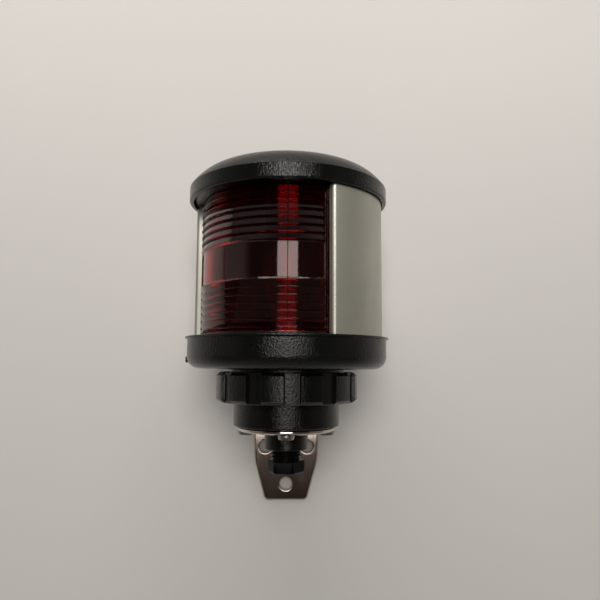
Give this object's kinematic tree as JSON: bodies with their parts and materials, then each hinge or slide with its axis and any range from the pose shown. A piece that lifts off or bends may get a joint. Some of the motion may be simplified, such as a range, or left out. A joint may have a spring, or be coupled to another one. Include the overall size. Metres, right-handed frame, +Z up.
{
  "type": "boat navigation side light",
  "caption": "Cylindrical port side light: stepped red lens in a black base and domed cap, steel shroud, ring nut, cable gland and wall bracket.",
  "frame": {"origin": "centre of the bracket's three-hole bolt circle, on the wall plane", "axes": "+Y into the wall, +Z up along the lantern's axis, dead ahead is -X"},
  "size_m": [0.0858, 0.0909, 0.1509],
  "materials": {
    "black_plastic": "grained, slightly satin black moulded nylon",
    "cap_plastic": "finely grained matt black moulded nylon",
    "red_lens": "clear deep red moulded polycarbonate, gloss",
    "satin_steel": "satin stainless sheet",
    "polished_steel": "polished stainless sheet",
    "screw_steel": "stainless screw",
    "rubber": "matt black rubber",
    "brass": "nickelled brass, slightly dull",
    "phenolic": "brown laminated insulating board",
    "clear_glass": "clear lamp glass",
    "tungsten": "dull grey wire",
    "spring_steel": "bright spring wire",
    "solder": "dull solder",
    "screen_black": "dead matt black sheet"
  },
  "bodies": {
    "mount": {"bracket": "polished_steel", "mounting_base": "black_plastic", "bracket_screws": "screw_steel", "base_seal": "rubber", "socket_plate": "phenolic", "socket_contacts": "brass", "gland_seal": "rubber"},
    "ring": {"ring_nut": "black_plastic"},
    "lantern": {"lantern_base": "black_plastic", "lamp_pedestal": "phenolic", "cap_posts": "brass", "contact_plate": "phenolic", "contact_pins": "brass", "contact_strips": "brass", "lower_lens_seal": "rubber", "lens": "red_lens", "upper_lens_seal": "rubber", "shroud": "satin_steel", "top_cap": "cap_plastic", "screw_seals": "rubber", "cap_screws": "screw_steel", "light_screen": "screen_black", "lamp_holder": "brass", "holder_insulator": "phenolic", "contact_spring": "spring_steel"},
    "lamp": {"lamp_cap": "brass", "lamp_contacts": "solder", "lamp_glass": "clear_glass", "lamp_filament": "tungsten", "filament_supports": "clear_glass"},
    "plunger": {"contact_plunger": "brass"},
    "gland_slip": {"gland_washer": "screw_steel"},
    "gland": {"gland_screw": "black_plastic"}
  },
  "joints": [
    {"name": "ring_turn", "type": "hinge", "parent": "mount", "child": "ring", "pos_m": [0, -0.048, 0.0375], "axis": [0, 0, 1], "range_deg": [0, 1080]},
    {"name": "lantern_lift", "type": "slide", "parent": "mount", "child": "lantern", "axis": [0, 0, 1], "range_m": [0, 0.009]},
    {"name": "lamp_twist", "type": "hinge", "parent": "lantern", "child": "lamp", "pos_m": [0, -0.048, 0.0542], "axis": [0, 0, 1], "range_deg": [0, 20]},
    {"name": "plunger_press", "type": "slide", "parent": "lantern", "child": "plunger", "axis": [0, 0, -1], "range_m": [0, 0.0015], "stiffness_N_per_m": 400, "springref_m": -0.001, "deforming": ["contact_spring"]},
    {"name": "gland_turn", "type": "hinge", "parent": "mount", "child": "gland_slip", "pos_m": [0, -0.048, 0.009], "axis": [0, 0, -1], "range_deg": [0, 1080]},
    {"name": "gland_travel", "type": "slide", "parent": "gland_slip", "child": "gland", "axis": [0, 0, -1], "range_m": [0, 0.0045]}
  ],
  "couplings": [
    {"joint": "ring_turn", "follows": "lantern_lift", "rad_per_m": 2094.4},
    {"joint": "gland_turn", "follows": "gland_travel", "rad_per_m": 4188.8}
  ]
}
